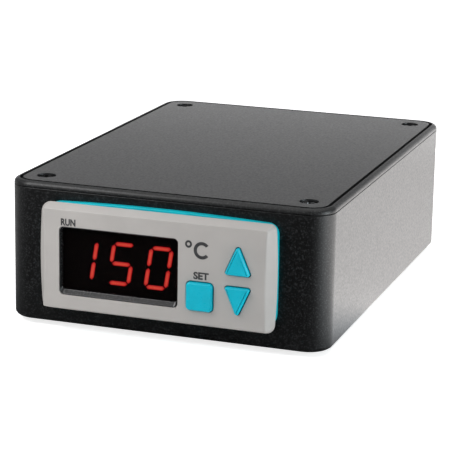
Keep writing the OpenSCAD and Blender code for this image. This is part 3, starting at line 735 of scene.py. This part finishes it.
DIGITS = ("bc", "acdfg", "abcdef")
DIGIT_H, DIGIT_W, DIGIT_PITCH, DIGIT_LEAN = 13.3, 8.3, 11.8, math.tan(math.radians(9))
BAR, BAR_GAP = 1.25, 0.28
DIGIT_RISE = 0.15


def bar_outline(a, b, width, shorten):
    """Pointed bar between two points on a level or upright line, before the digits' lean."""
    along = (Vector(b) - Vector(a)).normalized()
    across = Vector((-along.y, along.x))
    t = width / 2
    a, b = Vector(a) + along * shorten, Vector(b) - along * shorten
    return [a, a + along * t - across * t, b - along * t - across * t,
            b, b - along * t + across * t, a + along * t + across * t]


def make_segments():
    px, pz, _ = panel_centre()
    front, rear = box_mm("display_segments")[0].y, box_mm("display_segments")[1].y
    x = (DIGIT_W - DIGIT_H * DIGIT_LEAN * 0.35 - BAR) / 2
    z = (DIGIT_H - BAR) / 2
    ends = {
        "a": ((-x, z), (x, z)), "b": ((x, 0), (x, z)), "c": ((x, -z), (x, 0)),
        "d": ((-x, -z), (x, -z)), "e": ((-x, -z), (-x, 0)), "f": ((-x, 0), (-x, z)),
        "g": ((-x, 0), (x, 0)),
    }
    bm = bmesh.new()
    core = bm.verts.layers.float.new("core")
    for i, lit in enumerate(DIGITS):
        for letter in lit:
            rows = []
            for width, shorten, y, glow in (
                (BAR, BAR_GAP, rear, 0.0), (BAR, BAR_GAP, front + 0.05, 0.0),
                (BAR - 0.1, BAR_GAP + 0.07, front, 0.0),
                (BAR * 0.3, BAR_GAP + 1.1, front, 1.0),
            ):
                row = []
                for p in bar_outline(*ends[letter], width, shorten):
                    vert = bm.verts.new((
                        px + WINDOW[0] + (i - 1) * DIGIT_PITCH + p.x + p.y * DIGIT_LEAN,
                        y, pz + WINDOW[1] + DIGIT_RISE + p.y))
                    vert[core] = glow
                    row.append(vert)
                rows.append(row)
            for a, b in zip(rows, rows[1:]):
                for k in range(6):
                    bm.faces.new((a[k], a[(k + 1) % 6], b[(k + 1) % 6], b[k]))
            bm.faces.new(rows[0])
            bm.faces.new(rows[-1])
    settle(add_piece("lit_bars", bm), "case", "lit_red", "display_segments")


def make_button(name, node, outline_of, place, lip, stem_z):
    px, pz, face = panel_centre()
    x, z = px + place[0], pz + place[1]
    top = box_mm(node)[0].y
    skin = face + COVER_SKIN
    bm = bmesh.new()
    crown = [
        (0, 1.0), (0.02, 0.62), (0.08, 0.5), (0.2, 0.32), (0.42, 0.1), (0.52, 0.03), (0.68, 0.0),
    ]
    add_loft(bm, [at_y(outline_of(0), skin + 0.02, x, z)] + [
        at_y(outline_of(-inset), top + drop, x, z) for inset, drop in crown])
    add_loft(bm, [
        at_y(rounded_rect(*lip[:2], 0.4, 4), y, x, z + lip[2]) for y in (skin + 0.02, skin + 0.82)])
    add_loft(bm, [at_y(circle(1.6), y, x, z + stem_z) for y in (skin + 0.82, face + 4.9)])
    settle(add_piece(name, bm), BODY_OF[node], "button_teal", node, angle=50)


def make_buttons():
    make_button(
        "set_key", "set_button", set_outline, SET_PLACE,
        (SET_SIZE[0] + 1.4, SET_SIZE[1] + 1.4, 0), 0)
    make_button("up_key", "up_button", arrow, UP_PLACE, (6.8, 5.2, -1.5), -1.5)
    make_button(
        "down_key", "down_button", lambda grow: turned(arrow(grow)), DOWN_PLACE,
        (6.8, 5.2, 1.5), 1.5)


PRINT_T = 0.03


def flat_letter(name, outer, inner, closed, face, x, z):
    """Printed stroke between an outer and an inner row of points."""
    bm = bmesh.new()
    (outer_front, inner_front), (outer_back, inner_back) = [
        [[bm.verts.new((x + a, y, z + b)) for a, b in row] for row in (outer, inner)]
        for y in (face - PRINT_T, face)
    ]
    n = len(outer)
    for i in range(n if closed else n - 1):
        j = (i + 1) % n
        bm.faces.new((outer_front[i], outer_front[j], inner_front[j], inner_front[i]))
        bm.faces.new((outer_back[i], inner_back[i], inner_back[j], outer_back[j]))
        bm.faces.new((outer_front[i], outer_back[i], outer_back[j], outer_front[j]))
        bm.faces.new((inner_front[i], inner_front[j], inner_back[j], inner_back[i]))
    if not closed:
        for i in (0, n - 1):
            bm.faces.new((outer_front[i], inner_front[i], inner_back[i], outer_back[i]))
    settle(add_piece(name, bm), "case", "cover_grey", material="print_dark")


def word(name, text, low, high, face):
    """Printed word stretched to fill the box from low to high in X and Z."""
    curve = bpy.data.curves.new(name, "FONT")
    curve.body = text
    curve.offset = 0.042
    curve.extrude = 0.02
    curve.resolution_u = 4
    shape = bpy.data.objects.new(name, curve)
    SCENE.collection.objects.link(shape)
    graph = bpy.context.evaluated_depsgraph_get()
    mesh = bpy.data.meshes.new_from_object(shape.evaluated_get(graph))
    bpy.data.objects.remove(shape)
    xs, ys = [v.co.x for v in mesh.vertices], [v.co.y for v in mesh.vertices]
    for v in mesh.vertices:
        u = (v.co.x - min(xs)) / (max(xs) - min(xs))
        t = (v.co.y - min(ys)) / (max(ys) - min(ys))
        v.co = Vector((
            low[0] + (high[0] - low[0]) * u, face if v.co.z < 0 else face - PRINT_T,
            low[1] + (high[1] - low[1]) * t,
        )) * MM
    bm = bmesh.new()
    bm.from_mesh(mesh)
    bmesh.ops.remove_doubles(bm, verts=bm.verts, dist=2e-6)
    bmesh.ops.recalc_face_normals(bm, faces=bm.faces)
    bm.to_mesh(mesh)
    bm.free()
    piece = bpy.data.objects.new(name, mesh)
    SCENE.collection.objects.link(piece)
    settle(piece, "case", "cover_grey", material="print_dark")


def make_print():
    px, pz, face = panel_centre()
    steps = 48
    ring = circle(1, steps)
    flat_letter(
        "degree_mark", [(1.07 * a, 1.12 * b) for a, b in ring],
        [(0.47 * a, 0.5 * b) for a, b in ring], True, face, px + 11.3, pz + 9.15)
    arc = [math.radians(40 + 280 * k / steps) for k in range(steps + 1)]
    flat_letter(
        "celsius_mark", [(2.55 * math.cos(a), 2.6 * math.sin(a)) for a in arc],
        [(1.55 * math.cos(a), 1.62 * math.sin(a)) for a in arc], False, face,
        px + 15.45, pz + 7.55)
    word("set_word", "SET", (px + 12.9, pz - 1.2), (px + 17.65, pz + 1.05), face)
    word("run_word", "RUN", (px - 28.9, pz + 10.6), (px - 24.2, pz + 12.75), face)


# ---------------------------------------------------------------- rear wall

def make_rear():
    softened("mains_inlet", "inlet_body", 0.25)
    softened("fuse_drawer", "drawer_body", 0.2)
    softened("switch_housing", "switch_frame", 0.25)
    softened("switch_rocker", "rocker_key", 0.25)
    softened("outlet_socket", "outlet_body", 0.25)
    softened("sensor_socket", "sensor_body", 0.25)


def dress_cad_nodes():
    for node, shape in frame["nodes"].items():
        if shape.hide_render:
            continue
        shape.data.materials.clear()
        shape.data.materials.append(MATERIALS[SLOT_OF[node]])


# Brightness of the studio around the object as its gloss sees it, by direction: degrees
# from +X turning to +Y, radiance, and tint. It is dark in front and bright to the right.
SWEEP_PEAK = 4.0
WARM, PLAIN, COOL = (1.0, 0.975, 0.96), (0.97, 0.97, 0.97), (0.93, 0.97, 1.0)
SWEEP = (
    (-180, 0.7, PLAIN), (-137, 0.2, COOL), (-108, 0.05, PLAIN), (-80, 0.0, PLAIN),
    (-52, 0.12, COOL), (-32, 1.9, COOL), (-10, 3.5, WARM), (14, 3.1, WARM), (62, 2.8, WARM),
    (90, 1.2, PLAIN), (135, 0.8, PLAIN), (180, 0.7, PLAIN),
)


def make_floor():
    """Pale floor; gloss on the object sees the softly graded studio sweep in its place."""
    bm = bmesh.new()
    size = 6000
    corners = [(size, size, 0), (-size, size, 0), (-size, -size, 0), (size, -size, 0)]
    bm.faces.new([bm.verts.new(c) for c in corners])
    floor = add_piece("floor", bm)
    material, tree, shader = start_material("floor")
    drift = add_noise(tree, 3, 3)
    tree.links.new(
        add_ramp(tree, drift, (0.9, 0.9, 0.9), (0.92, 0.92, 0.92)), shader.inputs["Base Color"])
    tree.links.new(add_range(tree, drift, 0.6, 0.7), shader.inputs["Roughness"])
    shader.inputs["Emission Color"].default_value = (1, 1, 1, 1)
    seen = tree.nodes.new("ShaderNodeLightPath")
    tree.links.new(
        add_range(tree, seen.outputs["Is Camera Ray"], 0.2, 0.78, 0, 1),
        shader.inputs["Emission Strength"])
    coords = tree.nodes.new("ShaderNodeTexCoord")
    turn = tree.nodes.new("ShaderNodeTexGradient")
    turn.gradient_type = "RADIAL"
    tree.links.new(coords.outputs["Object"], turn.inputs["Vector"])
    sweep = tree.nodes.new("ShaderNodeValToRGB")
    stops = sweep.color_ramp.elements
    while len(stops) < len(SWEEP):
        stops.new(0.5)
    for stop, (angle, radiance, tint) in zip(stops, SWEEP):
        stop.position = angle / 360 + 0.5
        stop.color = (*(c * radiance / SWEEP_PEAK for c in tint), 1)
    tree.links.new(turn.outputs["Fac"], sweep.inputs["Fac"])
    glow = tree.nodes.new("ShaderNodeEmission")
    glow.inputs["Strength"].default_value = SWEEP_PEAK
    tree.links.new(sweep.outputs["Color"], glow.inputs["Color"])
    rays = tree.nodes.new("ShaderNodeLightPath")
    choose = tree.nodes.new("ShaderNodeMixShader")
    tree.links.new(rays.outputs["Is Glossy Ray"], choose.inputs["Fac"])
    tree.links.new(shader.outputs["BSDF"], choose.inputs[1])
    tree.links.new(glow.outputs["Emission"], choose.inputs[2])
    tree.links.new(choose.outputs["Shader"], tree.nodes["Material Output"].inputs["Surface"])
    material.cycles.emission_sampling = "NONE"
    floor.data.materials.append(material)


make_camera()
make_lights()
MATERIALS = make_materials()
make_floor()
make_case()
make_cover()
make_frame()
make_window()
make_segments()
make_buttons()
make_print()
make_rear()
dress_cad_nodes()
